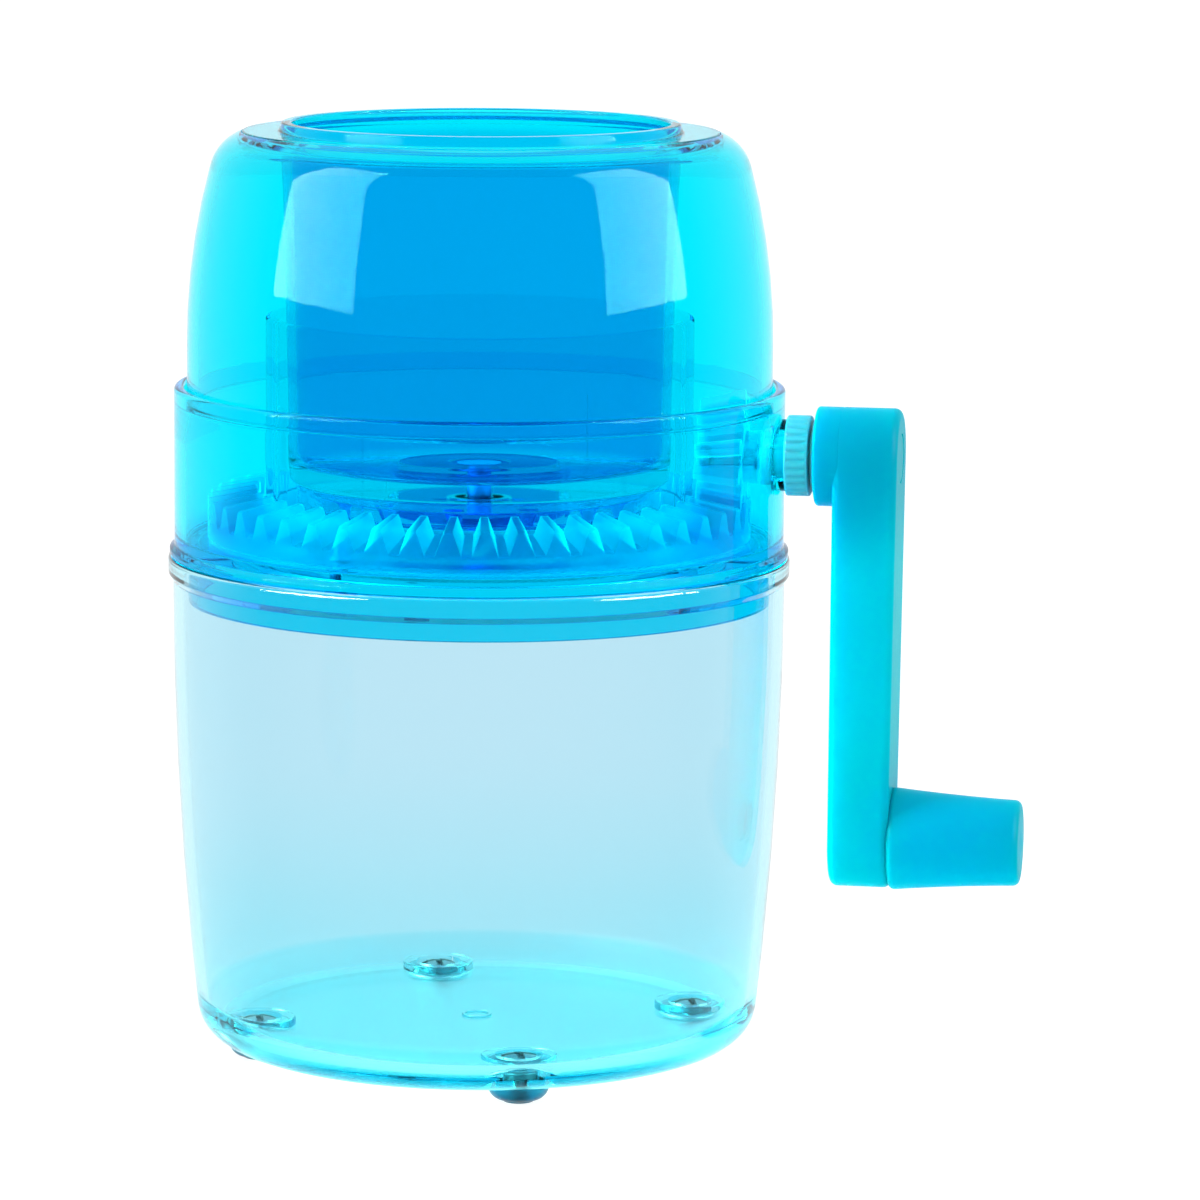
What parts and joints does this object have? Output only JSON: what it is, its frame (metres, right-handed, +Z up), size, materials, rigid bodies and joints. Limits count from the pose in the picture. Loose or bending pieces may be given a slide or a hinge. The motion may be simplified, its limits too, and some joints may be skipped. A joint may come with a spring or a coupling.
{
  "type": "ice shaver",
  "caption": "Hand-cranked ice shaver: clear tinted lid and housing on a clear container with rubber feet, side crank with grip.",
  "frame": {"origin": "on the body's axis, in the plane that the four feet stand on", "axes": "+Z up along the body's axis; +X along the crank shaft towards the crank; at rest the crank arm hangs down"},
  "size_m": [0.1807, 0.1306, 0.1974],
  "materials": {
    "container_clear": "clear moulded plastic, pale tint",
    "housing_clear": "clear moulded plastic, cyan tint",
    "lid_clear": "clear moulded plastic, cyan tint",
    "cup_blue": "clear moulded plastic, blue tint",
    "drum_clear": "clear moulded plastic, blue tint",
    "gear_plastic": "translucent moulded plastic",
    "press_plastic": "translucent moulded plastic",
    "crank_milky": "milky translucent plastic, satin gloss",
    "nylon": "natural nylon",
    "steel": "zinc-plated and stainless steel",
    "blade_steel": "ground stainless steel",
    "rubber": "dark rubber"
  },
  "bodies": {
    "container": {"container": "container_clear", "foot_1": "rubber", "foot_2": "rubber", "foot_3": "rubber", "foot_4": "rubber", "foot_screws": "steel"},
    "housing": {"housing_shell": "housing_clear", "blade_plate": "steel", "plate_screws": "steel", "blade": "blade_steel", "blade_screws": "steel", "shaft_bush": "nylon", "shaft_nut": "nylon"},
    "crank": {"crank_shaft": "steel", "pinion": "gear_plastic", "pinion_screw": "steel", "shaft_washer": "nylon", "arm_screw": "steel", "hub_cap": "crank_milky", "crank_arm": "crank_milky", "grip_pin": "steel", "grip_washer": "steel"},
    "grip": {"crank_grip": "crank_milky", "grip_cap": "crank_milky"},
    "drum": {"ice_drum": "drum_clear", "crown_gear": "gear_plastic", "gear_screws": "steel"},
    "lid": {"lid_dome": "lid_clear", "press_cup": "cup_blue", "press_screw": "steel", "press_washer": "steel"},
    "press": {"press_plate": "press_plastic"}
  },
  "joints": [
    {"name": "housing_lift", "type": "slide", "parent": "container", "child": "housing", "axis": [0, 0, 1], "range_m": [0, 0.03]},
    {"name": "crank_turn", "type": "hinge", "parent": "housing", "child": "crank", "pos_m": [0.0612, 0, 0.1293], "axis": [1, 0, 0], "continuous": true},
    {"name": "grip_spin", "type": "hinge", "parent": "crank", "child": "grip", "pos_m": [0.1, 0, 0.0491], "axis": [1, 0, 0], "continuous": true},
    {"name": "drum_turn", "type": "hinge", "parent": "housing", "child": "drum", "pos_m": [0, 0, 0.1108], "axis": [0, 0, 1], "continuous": true},
    {"name": "lid_lift", "type": "slide", "parent": "housing", "child": "lid", "axis": [0, 0, 1], "range_m": [0, 0.06]},
    {"name": "press_spin", "type": "hinge", "parent": "lid", "child": "press", "pos_m": [0, 0, 0.12], "axis": [0, 0, 1], "continuous": true}
  ],
  "couplings": [
    {"joint": "drum_turn", "follows": "crank_turn", "ratio": 0.20833}
  ]
}
